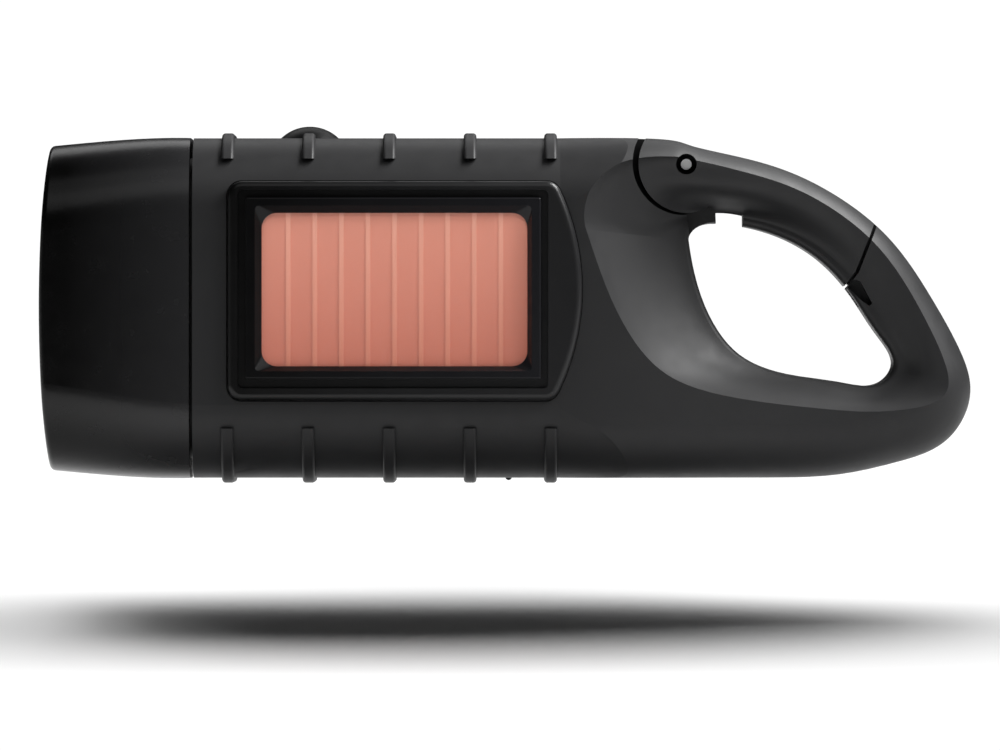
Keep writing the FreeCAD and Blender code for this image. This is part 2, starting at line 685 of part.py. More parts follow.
# ---- push button and switch ---------------------------------------------------------------------
def push_button():
    rise = BUTTON_TOP - TOP_Z - 0.1
    ball_r = (BUTTON_R ** 2 + rise ** 2) / (2 * rise)
    dome = Part.makeSphere(ball_r, V(BUTTON_X, 0, BUTTON_TOP - ball_r))
    dome = dome.common(post(BUTTON_X, 0, BUTTON_R, TOP_Z, BUTTON_TOP + 1))
    wall = post(BUTTON_X, 0, BUTTON_R, BUTTON_FOOT + 0.6, TOP_Z + 0.1)
    flange = post(BUTTON_X, 0, 5.3, BUTTON_FOOT, BUTTON_FOOT + 0.7)
    stem = post(BUTTON_X, 0, 1.4, PLUNGER_TOP, BUTTON_FOOT)
    return wall.fuse([dome, flange, stem]).removeSplitter()


def button_spring():
    """A cone washer that lifts the button off its switch."""
    foot = V(BUTTON_X, 0, SWITCH_TOP + 0.05)
    height = BUTTON_FOOT - 0.05 - foot.z
    outer = Part.makeCone(2.6, 2.1, height, foot, ALONG_Z)
    return outer.cut(Part.makeCone(2.3, 1.8, height, foot, ALONG_Z))


def switch_body():
    body = box(BUTTON_X - 3, BUTTON_X + 3, -3, 3, SWITCH_LOW, SWITCH_TOP)
    return body.cut(post(BUTTON_X, 0, 1.65, 45.4, 48))


def switch_plunger():
    return post(BUTTON_X, 0, 1.6, 46.3, PLUNGER_TOP)


def switch_board():
    return box(BUTTON_X - 6.0, BUTTON_X + 6.0, -6, 6, SWITCH_LOW - 1.0, SWITCH_LOW)


# ---- electronics --------------------------------------------------------------------------------
def main_board():
    return box(-38.8, 3.0, BOARD_Y, BOARD_BACK, 9.5, 41.8)


def rectifier_diodes():
    top = BOARD_BACK + 1.3
    return Part.Compound([box(x, x + 2.4, BOARD_BACK, top, 17.0, 21.2) for x in (-26, -22, -18, -14)])


def control_chip():
    return box(-24, -18, BOARD_BACK, BOARD_BACK + 1.5, 24, 30)


def capacitor():
    return rod(V(-13.5, 0, 35.0), 3.1, BOARD_BACK, BOARD_BACK + 7.5)


def battery():
    return post(BATTERY_X, BATTERY_Y, BATTERY_R, BATTERY_LOW, BATTERY_HIGH)


def battery_tabs():
    low = box(BATTERY_X - 2, BATTERY_X + 2, -7, -1.5, BATTERY_LOW - TAB_THICK, BATTERY_LOW)
    high = box(BATTERY_X - 2, BATTERY_X + 2, -7, -1.5, BATTERY_HIGH, BATTERY_HIGH + TAB_THICK)
    return Part.Compound([low, high])


def battery_pad():
    return box(BATTERY_X - 3, BATTERY_X + 3, BOARD_BACK, BATTERY_Y - BATTERY_R, 17, 33)


def battery_leads():
    reach = TAB_THICK + LEAD_R
    places = [V(BATTERY_X, 0, BATTERY_LOW - reach), V(BATTERY_X, 0, BATTERY_HIGH + reach)]
    return Part.Compound([rod(place, LEAD_R, BOARD_BACK, -2.0) for place in places])


def cell_leads():
    return Part.Compound([rod(V(x, 0, 29.0), LEAD_R, SEAT_Y, BOARD_Y) for x in (-34.0, -31.0)])


def coil_leads():
    places = [ROTOR + V(side * 3, 0, -6.5) for side in (-1, 1)]
    return Part.Compound([rod(place, LEAD_R, BOARD_BACK, DYNAMO_Y) for place in places])


def led_leads():
    routes = [[V(NECK_X, -8, z), V(-36, -8, z), V(-36, BOARD_BACK, z)] for z in (19.0, 23.0)]
    return Part.Compound([tube_along(route, LEAD_R, 2.0) for route in routes])


def switch_leads():
    leads = []
    for x in (BUTTON_X - 3, BUTTON_X + 3):
        route = [V(x, -4.5, 43.0), V(x, -4.5, 38.0), V(x, BOARD_BACK, 38.0)]
        leads.append(tube_along(route, LEAD_R, 2.0))
    return Part.Compound(leads)


# ---- covered outlet on the underside ------------------------------------------------------------
def charge_socket():
    shell = box(-0.8, 2.0, -3.9, 3.9, 2.1, 7.0).cut(box(-0.5, 1.7, -3.6, 3.6, 2.0, 6.4))
    return shell.fuse(box(0.4, 0.8, -2.8, 2.8, 2.8, 6.5))


def port_board():
    return box(2.05, 3.0, -5.0, 5.0, 2.9, 12.0)


def port_leads():
    return rod(V(2.5, 0, 11.0), LEAD_R, BOARD_BACK, -5.0)


def port_cover():
    """Rubber flap that turns on a roll along its left edge, with a ridge to pull it by."""
    flap = box(PORT_HINGE.x, PORT_X1, -PORT_HALF_Y, PORT_HALF_Y, BASE_Z + 0.05, PORT_TOP)
    roll = Part.makeCylinder(0.6, 2 * PORT_HALF_Y, PORT_HINGE - V(0, PORT_HALF_Y, 0), ALONG_Y)
    ridge = Part.makeCylinder(0.5, 4.0, V(PORT_RIDGE_X, -2.0, BASE_Z + 0.1), ALONG_Y)
    return flap.fuse([roll, ridge]).removeSplitter()


# ---- gears and dynamo ---------------------------------------------------------------------------
PRESSURE = math.radians(25.0)   # pressure angle of the teeth
ADDENDUM, DEDENDUM = 0.85, 1.2   # tooth height above and depth below the pitch circle, in modules


def involute(angle):
    return math.tan(angle) - angle


def through(points):
    """A free smooth edge through points."""
    spline = Part.BSplineCurve()
    spline.interpolate(Points=points)
    return spline.toShape()


def gear(teeth, centre, y0, y1, turn):
    """A spur gear with one tooth centred on the direction turn, in degrees in the XZ plane."""
    pitch_r = MODULE * teeth / 2
    base_r = pitch_r * math.cos(PRESSURE)
    tip_r = pitch_r + ADDENDUM * MODULE
    root_r = pitch_r - DEDENDUM * MODULE
    half_at_pitch = math.pi / (2 * teeth) - BACKLASH / (4 * pitch_r)

    def half_tooth(radius):
        if radius <= base_r:
            return half_at_pitch + involute(PRESSURE)
        return half_at_pitch + involute(PRESSURE) - involute(math.acos(base_r / radius))

    flank_from = max(base_r, root_r)
    foot_half = half_tooth(flank_from)
    flank = [flank_from + (tip_r - flank_from) * share for share in (0.0, 0.35, 0.7, 1.0)]
    edges = []
    for number in range(teeth):
        middle = math.radians(turn) + 2 * math.pi * number / teeth

        def place(radius, angle):
            return V(centre.x + radius * math.cos(angle), y0, centre.z + radius * math.sin(angle))

        rising = [place(radius, middle - half_tooth(radius)) for radius in flank]
        falling = [place(radius, middle + half_tooth(radius)) for radius in reversed(flank)]
        gap_end = middle + 2 * math.pi / teeth - foot_half
        root_start = place(root_r, middle + foot_half)
        root_end = place(root_r, gap_end)
        root_middle = place(root_r, middle + math.pi / teeth)
        edges.append(through(rising))
        edges.append(Part.Arc(rising[-1], place(tip_r, middle), falling[0]).toShape())
        edges.append(through(falling))
        if flank_from > root_r:
            edges.append(Part.makeLine(falling[-1], root_start))
        edges.append(Part.Arc(root_start, root_middle, root_end).toShape())
        if flank_from > root_r:
            edges.append(Part.makeLine(root_end, place(flank_from, gap_end)))
    return Part.Face(Part.Wire(edges)).extrude(V(0, y1 - y0, 0))


def crank_gear():
    wheel = gear(CRANK_TEETH, CRANK, 11.6, 13.6, STEP_ANGLE)
    hub = rod(CRANK, 4.2, 10.6, 11.6)
    return wheel.fuse(hub).cut(rod(CRANK, SPINDLE_R, 5, 20))


def step_gear():
    pinion = gear(STEP_PINION_TEETH, STEP, 11.4, 13.8, STEP_ANGLE + 180 + 180 / STEP_PINION_TEETH)
    wheel = gear(STEP_WHEEL_TEETH, STEP, 8.4, 10.4, ROTOR_ANGLE)
    hub = rod(STEP, 1.9, 10.4, 11.4)
    return wheel.fuse([hub, pinion]).cut(rod(STEP, STEP_AXLE_R + RUNNING, 5, 20))


def step_axle():
    return rod(STEP, STEP_AXLE_R, PLATE_Y, 15.0)


def rotor_pinion():
    pinion = gear(ROTOR_TEETH, ROTOR, 8.2, 10.6, ROTOR_ANGLE + 180 + 180 / ROTOR_TEETH)
    return pinion.cut(rod(ROTOR, ROTOR_SHAFT_R, 5, 20))


def rotor_shaft():
    return rod(ROTOR, ROTOR_SHAFT_R, DYNAMO_Y, 11.2)


def rotor_magnet():
    return rod(ROTOR, 6.2, 1.8, 6.0).cut(rod(ROTOR, ROTOR_SHAFT_R, 0, 10))


def stator_core():
    cup = rod(ROTOR, 9.4, DYNAMO_Y + 1.0, PLATE_Y)
    core = cup.cut(rod(ROTOR, 8.9, DYNAMO_Y + 1.8, PLATE_Y - 0.8))
    return core.cut(rod(ROTOR, 6.6, 0, 10))


def stator_coil():
    return rod(ROTOR, 8.8, DYNAMO_Y + 1.8, PLATE_Y - 0.8).cut(rod(ROTOR, 6.8, 0, 10))


def dynamo_cover():
    cover = rod(ROTOR, 9.4, DYNAMO_Y, DYNAMO_Y + 1.0)
    return cover.cut(rod(ROTOR, ROTOR_SHAFT_R + RUNNING, -1, 3))


def gear_plate():
    shape = box(-43.3, -4.6, PLATE_Y, PLATE_BACK, 9.6, 43.0)
    shape = shape.makeFillet(2.5, edges_along(shape, ALONG_Y))
    holes = [rod(V(x, 0, z), 0.8, 0, 20) for x, z in PLATE_SCREWS]
    holes.append(rod(CRANK, 1.25, 0, 20))
    holes.append(rod(STEP, STEP_AXLE_R, 0, 20))
    holes.append(rod(ROTOR, ROTOR_SHAFT_R + RUNNING, 0, 20))
    return shape.cut(holes)


def gear_plate_screws():
    screws = []
    for x, z in PLATE_SCREWS:
        place = V(x, 0, z)
        screws.append(rod(place, 0.8, PLATE_Y, 12.5).fuse(rod(place, 1.6, PLATE_Y - 1.1, PLATE_Y)))
    return Part.Compound(screws)


# ---- hand crank ---------------------------------------------------------------------------------
KNOB_FOLD = V(CRANK.x + KNOB_REACH, KNOB_Y, CRANK.z)
ARM_TOP = ARM_Y + ARM_THICK
HUB_SEAT = ARM_TOP - 1.2


def crank_spindle():
    shape = rod(CRANK, SPINDLE_R, 7.9, HUB_SEAT - 0.6).fuse(rod(CRANK, 1.2, PLATE_Y + 0.1, 7.9))
    return shape.cut(rod(CRANK, SCREW_R, 16.0, 30))


def crank_bushing():
    bush = rod(CRANK, 4.0, 14.2, HALF_DEPTH + 0.5).fuse(rod(CRANK, 5.4, 14.2, INNER_Y))
    return bush.cut(rod(CRANK, SPINDLE_R + RUNNING, 5, 30))


def hub_screw():
    screw = rod(CRANK, SCREW_R, 16.5, HUB_SEAT).fuse(rod(CRANK, 2.2, HUB_SEAT, HUB_SEAT + 0.9))
    return screw.cut(box(CRANK.x - 1.5, CRANK.x + 1.5, HUB_SEAT + 0.4, 30, CRANK.z - 0.35, CRANK.z + 0.35))


def crank_arm():
    """A stadium-shaped arm with a slot that the folded knob lies in."""
    end = V(KNOB_FOLD.x, 0, CRANK.z)
    shape = box(CRANK.x, end.x, ARM_Y, ARM_TOP, CRANK.z - ARM_HALF_WIDTH, CRANK.z + ARM_HALF_WIDTH)
    shape = shape.fuse([rod(centre, ARM_HALF_WIDTH, ARM_Y, ARM_TOP) for centre in (CRANK, end)])
    shape = shape.removeSplitter()
    rims = [edge for edge in shape.Edges if edge.BoundBox.YMin > ARM_TOP - 0.01]
    shape = shape.makeFillet(0.8, rims)
    slot = box(CRANK.x + 5.0, end.x + 2.4, ARM_Y - 1, ARM_TOP + 1, CRANK.z - 3.4, CRANK.z + 3.4)
    pin_hole = post(KNOB_FOLD.x, KNOB_Y, 0.8, CRANK.z - 5.2, CRANK.z + 5.2)
    spindle_hole = rod(CRANK, SPINDLE_R, 10, HUB_SEAT - 0.6)
    screw_hole = rod(CRANK, SCREW_R, 10, 40).fuse(rod(CRANK, 2.4, HUB_SEAT, 40))
    return shape.cut([slot, pin_hole, spindle_hole, screw_hole])


def knob_pin():
    return post(KNOB_FOLD.x, KNOB_Y, 0.8, CRANK.z - 5.2, CRANK.z + 5.2)


def knob_stem():
    """The folding foot of the knob and the spindle that the knob turns on."""
    x, z = KNOB_FOLD.x, CRANK.z
    shape = post(x, KNOB_Y, 2.0, z - 3.3, z + 3.3)
    shape = shape.fuse(box(x - 2.5, x, KNOB_Y - 2.0, KNOB_Y + 2.0, z - 2.6, z + 2.6))
    shape = shape.fuse(Part.makeCylinder(1.1, 9.2, V(x - 11.7, KNOB_Y, z), ALONG_X))
    return shape.cut(post(x, KNOB_Y, 0.8 + RUNNING, z - 4, z + 4))


def crank_knob():
    x, z = KNOB_FOLD.x, CRANK.z
    knob = Part.makeCylinder(KNOB_R, 10.3, V(x - 12.9, KNOB_Y, z), ALONG_X)
    knob = knob.makeFillet(0.7, [edge for edge in knob.Edges if edge.BoundBox.XLength < 0.01])
    return knob.cut(Part.makeCylinder(1.1 + RUNNING, 9.5, V(x - 11.9, KNOB_Y, z), ALONG_X))


# ---- the whole torch ----------------------------------------------------------------------------
SUB_PARTS = [
    head_bezel, front_lens, lens_seal, reflector, leds, led_board, shell_screws,
    solar_bezel, panel_frame, panel_window, solar_cell, cell_fingers, gate, gate_pin, gate_spring,
    push_button, button_spring, switch_body, switch_plunger, switch_board,
    main_board, rectifier_diodes, control_chip, capacitor, battery, battery_tabs, battery_pad,
    battery_leads, cell_leads, coil_leads, led_leads, switch_leads,
    charge_socket, port_board, port_leads, port_cover,
    crank_gear, step_gear, step_axle, rotor_pinion, rotor_shaft, rotor_magnet, stator_core, stator_coil,
    dynamo_cover, gear_plate, gear_plate_screws,
    crank_spindle, crank_bushing, hub_screw, crank_arm, knob_pin, knob_stem, crank_knob,
]


def write(name, shape):
    moved = shape.copy()
    moved.translate(TO_ORIGIN)
    moved.exportStep(f"parts/{name}.step")


def main():
    os.makedirs("parts", exist_ok=True)
    whole = case()
    write("front_shell", case_half(whole, -1))
    write("back_shell", case_half(whole, 1))
    for sub_part in SUB_PARTS:
        write(sub_part.__name__, sub_part())


main()
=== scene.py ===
"""Looks of the solar and hand-crank carabiner torch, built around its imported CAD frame."""
import bpy
import math
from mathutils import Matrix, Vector


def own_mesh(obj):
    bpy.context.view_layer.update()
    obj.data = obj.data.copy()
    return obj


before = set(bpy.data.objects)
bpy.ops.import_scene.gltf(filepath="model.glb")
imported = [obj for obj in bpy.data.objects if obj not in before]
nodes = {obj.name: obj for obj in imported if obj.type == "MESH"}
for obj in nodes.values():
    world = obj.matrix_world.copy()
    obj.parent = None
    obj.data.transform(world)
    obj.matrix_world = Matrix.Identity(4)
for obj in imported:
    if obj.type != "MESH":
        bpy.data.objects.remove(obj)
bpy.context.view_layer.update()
MM = 0.001
TORCH_Y = -2.9 * MM     # the torch's own middle plane, seen in the frame
WHITE = (1, 1, 1, 1)


# ---- node helpers -------------------------------------------------------------------------------
def linear(value):
    """A channel of a screen colour, 0 to 255, as linear light."""
    share = value / 255
    return share / 12.92 if share <= 0.04045 else ((share + 0.055) / 1.055) ** 2.4


def colour(red, green, blue):
    return (linear(red), linear(green), linear(blue), 1.0)


def grey(level, blue=1):
    """A grey that leans to blue by so many levels."""
    return colour(level, level, level + blue)


def new_material(name, base, roughness, metallic=0.0):
    """A material with one Principled shader; returns the material, its tree and the shader."""
    material = bpy.data.materials.new(name)
    material.use_nodes = True
    tree = material.node_tree
    shader = tree.nodes["Principled BSDF"]
    shader.inputs["Base Color"].default_value = base
    shader.inputs["Roughness"].default_value = roughness
    shader.inputs["Metallic"].default_value = metallic
    return material, tree, shader


def noise(tree, size, detail=2.0, stretch=(1, 1, 1)):
    """A noise pattern whose features are about size metres across, fixed to the piece."""
    place = tree.nodes.new("ShaderNodeTexCoord")
    mapping = tree.nodes.new("ShaderNodeMapping")
    mapping.inputs["Scale"].default_value = [1 / (size * share) for share in stretch]
    pattern = tree.nodes.new("ShaderNodeTexNoise")
    pattern.inputs["Scale"].default_value = 1.0
    pattern.inputs["Detail"].default_value = detail
    tree.links.new(place.outputs["Object"], mapping.inputs["Vector"])
    tree.links.new(mapping.outputs["Vector"], pattern.inputs["Vector"])
    return pattern.outputs["Fac"]


NOISE_LOW, NOISE_HIGH = 0.3, 0.7    # most of a noise pattern lies between these


def spread(tree, factor, low, high):
    """Stretches a noise pattern over a range of values."""
    node = tree.nodes.new("ShaderNodeMapRange")
    node.inputs["From Min"].default_value = NOISE_LOW
    node.inputs["From Max"].default_value = NOISE_HIGH
    node.inputs["To Min"].default_value = low
    node.inputs["To Max"].default_value = high
    tree.links.new(factor, node.inputs["Value"])
    return node.outputs["Result"]


def blend_colours(tree, factor, first, second):
    """The first colour where the factor is 0, the second where it is 1."""
    node = tree.nodes.new("ShaderNodeMix")
    node.data_type = "RGBA"
    node.inputs["A"].default_value = first
    node.inputs["B"].default_value = second
    tree.links.new(factor, node.inputs["Factor"])
    return node.outputs["Result"]


def bump(tree, shader, height, depth):
    """Raises the surface by a pattern; depth is its full height in metres."""
    node = tree.nodes.new("ShaderNodeBump")
    node.inputs["Strength"].default_value = 1.0
    node.inputs["Distance"].default_value = depth
    tree.links.new(height, node.inputs["Height"])
    tree.links.new(node.outputs["Normal"], shader.inputs["Normal"])


def waves(tree, pitch, axis):
    """Even stripes across one axis of the piece, pitch metres apart."""
    place = tree.nodes.new("ShaderNodeTexCoord")
    pattern = tree.nodes.new("ShaderNodeTexWave")
    pattern.bands_direction = axis
    pattern.inputs["Scale"].default_value = math.pi / (10 * pitch)
    pattern.inputs["Distortion"].default_value = 0.0
    tree.links.new(place.outputs["Object"], pattern.inputs["Vector"])
    return pattern.outputs["Fac"]


def along(tree, axis, low, high):
    """0 to 1 between two places along an axis of the torch."""
    place = tree.nodes.new("ShaderNodeTexCoord")
    parts = tree.nodes.new("ShaderNodeSeparateXYZ")
    share = tree.nodes.new("ShaderNodeMapRange")
    share.inputs["From Min"].default_value = low
    share.inputs["From Max"].default_value = high
    tree.links.new(place.outputs["Object"], parts.inputs["Vector"])
    tree.links.new(parts.outputs[axis], share.inputs["Value"])
    return share.outputs["Result"]


def painted_light_grade(material, axis, low, high, first, second):
    """Adds painted light to a material's own mottling: a steady change of tone along the piece that
    stands in for light and shade.
    """
    tree = material.node_tree
    shader = tree.nodes["Principled BSDF"]
    mottle = shader.inputs["Base Color"].links[0].from_socket
    tint = tree.nodes.new("ShaderNodeMix")
    tint.data_type = "RGBA"
    tint.blend_type = "MULTIPLY"
    tint.inputs["Factor"].default_value = 1.0
    tree.links.new(mottle, tint.inputs["A"])
    tree.links.new(blend_colours(tree, along(tree, axis, low, high), first, second), tint.inputs["B"])
    tree.links.new(tint.outputs["Result"], shader.inputs["Base Color"])
    return material


# ---- materials ----------------------------------------------------------------------------------
FINE = 0.3 * MM         # grain of a plain moulded surface
SMOOTH = 0.4 * MM       # grain of a polished one
COARSE = 0.5 * MM       # grain of rubber, card and bare metal
DRIFT_SIZE = 14 * MM    # patches over which a moulding's colour drifts
GLOSS_SIZE = 3 * MM     # patches over which its gloss does
# the cell's painted reflection runs between these heights, darkening the film by the colour below at its
# foot and leaving its top pale
CELL_LOW, CELL_HIGH = 17 * MM, 41 * MM
CELL_FOOT_PAINTED_REFLECTION = colour(212, 184, 174)
MASK, MASK_PALE, TRACK = colour(24, 70, 42), colour(28, 78, 47), colour(56, 112, 66)


def moulded_plastic(name, dark, light, roughness, grain_size, grain_depth, shine=0.5):
    """Plastic with a fine moulded grain and a slight drift of colour and gloss."""
    material, tree, shader = new_material(name, dark, roughness)
    shader.inputs["Specular IOR Level"].default_value = shine
    drift = noise(tree, DRIFT_SIZE, 3.0)
    tree.links.new(blend_colours(tree, drift, dark, light), shader.inputs["Base Color"])
    gloss = spread(tree, noise(tree, GLOSS_SIZE, 4.0), roughness * 0.93, roughness * 1.07)
    tree.links.new(gloss, shader.inputs["Roughness"])
    bump(tree, shader, noise(tree, grain_size, 1.0), grain_depth)
    return material


def metal(name, base, roughness, stretch=(1, 1, 1)):
    """Bare metal with fine drawn or tumbled marks."""
    material, tree, shader = new_material(name, base, roughness, 1.0)
    marks = noise(tree, COARSE, 3.0, stretch)
    tree.links.new(spread(tree, marks, roughness * 0.75, roughness * 1.25), shader.inputs["Roughness"])
    bump(tree, shader, marks, 0.002 * MM)
    return material


def striped_metal(name, dark, light, roughness, pitch, axis):
    """Stacked sheets or wound wire: lines a pitch apart."""
    material, tree, shader = new_material(name, dark, roughness, 1.0)
    lines = waves(tree, pitch, axis)
    tree.links.new(blend_colours(tree, lines, dark, light), shader.inputs["Base Color"])
    bump(tree, shader, lines, pitch / 4)
    return material


def solar_film_painted_reflection(name, dark, light):
    """Copper-coloured film: faint upright streaks, with a painted reflection over them that leaves the
    film paler towards the top of the panel and deeper in tone towards its foot.
    """
    material, tree, shader = new_material(name, dark, 0.45)
    shader.inputs["Specular IOR Level"].default_value = 0.2
    streaks = noise(tree, 9 * MM, 4.0, (0.12, 1, 1))
    tree.links.new(blend_colours(tree, streaks, dark, light), shader.inputs["Base Color"])
    bump(tree, shader, noise(tree, COARSE, 2.0), 0.001 * MM)
    return painted_light_grade(material, "Z", CELL_LOW, CELL_HIGH, CELL_FOOT_PAINTED_REFLECTION, WHITE)


def clear_cover(name, alpha, roughness):
    """Clear moulded plastic that mostly shows in its reflections."""
    material, tree, shader = new_material(name, WHITE, roughness)
    shader.inputs["Alpha"].default_value = alpha
    gloss = spread(tree, noise(tree, 5 * MM, 2.0), roughness * 0.8, roughness * 1.2)
    tree.links.new(gloss, shader.inputs["Roughness"])
    return material


def board_laminate():
    """Green solder mask with the tracks under it paler and raised."""
    material, tree, shader = new_material("board_laminate", MASK, 0.45)
    place = tree.nodes.new("ShaderNodeTexCoord")
    tracks = tree.nodes.new("ShaderNodeTexBrick")
    tracks.inputs["Scale"].default_value = 180.0
    tracks.inputs["Mortar Size"].default_value = 0.06
    tracks.inputs["Color1"].default_value = MASK
    tracks.inputs["Color2"].default_value = MASK_PALE
    tracks.inputs["Mortar"].default_value = TRACK
    turned = tree.nodes.new("ShaderNodeMapping")
    turned.inputs["Rotation"].default_value = (math.radians(90), 0, 0)
    tree.links.new(place.outputs["Object"], turned.inputs["Vector"])
    tree.links.new(turned.outputs["Vector"], tracks.inputs["Vector"])
    tree.links.new(tracks.outputs["Color"], shader.inputs["Base Color"])
    bump(tree, shader, tracks.outputs["Fac"], 0.03 * MM)
    return material


def matt(name, dark, light, roughness, grain_depth):
    """Rubber, foam, resin and card: coarse grain, little gloss."""
    return moulded_plastic(name, dark, light, roughness, COARSE, grain_depth)


def head_painted_shade_plastic():
    """Glossy black, with painted shade: darker towards the lamp's end and a shade paler towards the case.
    """
    gloss = moulded_plastic("head_painted_shade_plastic", grey(36), grey(40), 0.26, SMOOTH, 0.001 * MM, 0.34)
    # painted shade: the tone is multiplied down towards the lamp's end of the head
    return painted_light_grade(gloss, "X", -66 * MM, -48 * MM, grey(20, 0), WHITE)


def panel_painted_shade_plastic(name, dark, light, shine, left, right):
    """Satin black of the panel's surround, with painted shade: darker towards the head and paler towards
    the clip.
    """
    satin = moulded_plastic(name, dark, light, 0.3, FINE, 0.002 * MM, shine)
    return painted_light_grade(satin, "X", left, right, grey(90, 0), grey(250, 0))


FINISHES = [
    (moulded_plastic("shell_plastic", grey(33), grey(37), 0.5, FINE, 0.004 * MM, 0.36),
     ["front_shell", "back_shell", "gate", "crank_arm", "knob_stem"]),
    (head_painted_shade_plastic(), ["head_bezel"]),
    # the panel's surround and frame carry painted shade, darker towards the head
    (panel_painted_shade_plastic("bezel_painted_shade_plastic", grey(32), grey(36), 0.32, -42 * MM, 0), ["solar_bezel"]),
    (panel_painted_shade_plastic("frame_painted_shade_plastic", grey(26, 3), grey(30, 3), 0.24, -39 * MM, 5 * MM), ["panel_frame"]),
    (moulded_plastic("button_plastic", grey(5), grey(7), 0.4, SMOOTH, 0.001 * MM, 0.12), ["push_button"]),
    (moulded_plastic("knob_plastic", grey(20), grey(24), 0.35, FINE, 0.004 * MM), ["crank_knob"]),
    # the cell and its fingers carry a painted reflection, paler towards the panel's top
    (solar_film_painted_reflection("cell_film_painted_reflection", colour(236, 152, 129), colour(242, 158, 135)), ["solar_cell"]),
    (solar_film_painted_reflection("finger_print_painted_reflection", colour(248, 176, 153), colour(251, 181, 159)), ["cell_fingers"]),
    (clear_cover("window_clear", 0.03, 0.06), ["panel_window"]),
    (clear_cover("lens_clear", 0.16, 0.04), ["front_lens"]),
    (matt("rubber", grey(24), grey(30), 0.75, 0.02 * MM), ["lens_seal", "port_cover", "battery_pad"]),
    (metal("bright_reflector", colour(214, 216, 220), 0.12), ["reflector"]),
    (matt("led_resin", colour(226, 222, 196), colour(238, 235, 216), 0.18, 0.001 * MM), ["leds"]),
    (board_laminate(), ["led_board", "switch_board", "main_board", "port_board"]),
    (matt("chip_resin", grey(26), grey(32), 0.55, 0.006 * MM),
     ["control_chip", "rectifier_diodes", "switch_body", "rotor_magnet"]),
    (matt("plunger_nylon", grey(60), grey(68), 0.5, 0.003 * MM), ["switch_plunger"]),
    (matt("sleeve_film", colour(38, 62, 96), colour(44, 70, 106), 0.35, 0.003 * MM),
     ["battery", "capacitor"]),
    (metal("plated_steel", colour(196, 196, 194), 0.26, (1, 1, 0.2)),
     ["shell_screws", "gear_plate_screws", "hub_screw", "knob_pin", "crank_spindle", "step_axle",
      "rotor_shaft", "charge_socket", "battery_tabs", "dynamo_cover"]),
    (matt("zinc_plating", grey(246, 0), grey(252, 0), 0.45, 0.004 * MM), ["gate_pin"]),
    (metal("spring_steel", colour(176, 178, 182), 0.3), ["gate_spring", "button_spring"]),
    (metal("pressed_plate", colour(168, 170, 172), 0.38, (0.15, 1, 1)), ["gear_plate"]),
    (metal("sintered_bush", colour(176, 134, 78), 0.42), ["crank_bushing"]),
    (striped_metal("core_sheets", colour(96, 98, 102), colour(142, 144, 148), 0.4, 0.35 * MM, "Y"),
     ["stator_core"]),
    (striped_metal("wound_copper", colour(120, 58, 30), colour(190, 104, 58), 0.3, 0.28 * MM, "Y"),
     ["stator_coil"]),
    (matt("gear_acetal", colour(206, 202, 190), colour(216, 213, 202), 0.4, 0.002 * MM),
     ["crank_gear", "step_gear", "rotor_pinion"]),
    (matt("lead_sheath", colour(120, 26, 24), colour(136, 34, 30), 0.45, 0.003 * MM),
     ["cell_leads", "coil_leads", "led_leads", "switch_leads", "battery_leads", "port_leads"]),
]


def wear(names, material):
    """Gives CAD nodes their finish."""
    for name in names:
        nodes[name].data.materials.clear()
        nodes[name].data.materials.append(material)


for finish, wearers in FINISHES:
    wear(wearers, finish)

# ---- springs, each given a mesh of its own ------------------------------------------------------
UP, ALONG = (0, 0, 1), (1, 0, 0)
SPRINGS = [     # node, its joint, the way it shortens, its fixed foot and the share of its length left
    ("button_spring", "button_press", UP, (-29.7 * MM, TORCH_Y, 47.45 * MM), 0.45),
    ("gate_spring", "gate_hinge", ALONG, (28.8 * MM, TORCH_Y, 44.8 * MM), 0.4),
]
for spring, joint, axis, foot, share_left in SPRINGS:
    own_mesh(nodes[spring])

# ---- studio -------------------------------------------------------------------------------------
VIEW_WIDTH = 151.0 * MM         # what the picture spans at the torch's middle plane
VIEW_CENTRE = Vector((-1.0 * MM, TORCH_Y, 16.2 * MM))
CAMERA_DISTANCE = 1.6
CAMERA_REACH = 20               # past the far edge of the floor
FLOOR_Z = -18.6 * MM
FLOOR_FRONT, FLOOR_BACK, FLOOR_HALF = -0.28, 6.0, 6.0
RAMP_HALF, RAMP_SLOPE = 80 * MM, math.tan(math.radians(9.5))
RAMP_STEPS = 12                 # each side of its middle
PAINT = (0.88, 0.88, 0.88, 1)
LIGHT_TARGET = (0, 0, 0.026)
LIGHT_DISTANCE = 0.9
SOFTBOXES = [       # name, azimuth, elevation, size and power
    ("behind", 180, 48, (0.9, 0.35), 1.3),
    ("front_high", 0, 42, (0.9, 0.3), 0.6),
    ("front_top", 0, 62, (0.9, 0.4), 0.42),
    ("clip_side", 70, 40, (0.4, 0.4), 6.0),
    ("clip_top", 95, 55, (0.4, 0.4), 11.0),
]
PANEL_LIGHT = ("panel_glow", 0, 50, (0.4, 0.4), 2.2)   # lifts the cell alone
SUN_TILT = math.radians(20)     # the suns on the floor stand a little behind the torch
SUN_LEANS = (-34, -17, 0, 17, 34)   # and lean to both sides, so that the shadow's ends taper off
SUN_WIDTH = math.radians(38)    # apparent size, which sets how soft the shadow is
FLOOR_SUN = 4.7
WORLD_LIGHT, WORLD_SEEN = 0.03, 1.05    # its strength on the torch, and to the camera


def look_at(thing, target):
    """Turns a camera or light so that it faces the target."""
    thing.rotation_euler = (Vector(target) - thing.location).to_track_quat("-Z", "Y").to_euler()


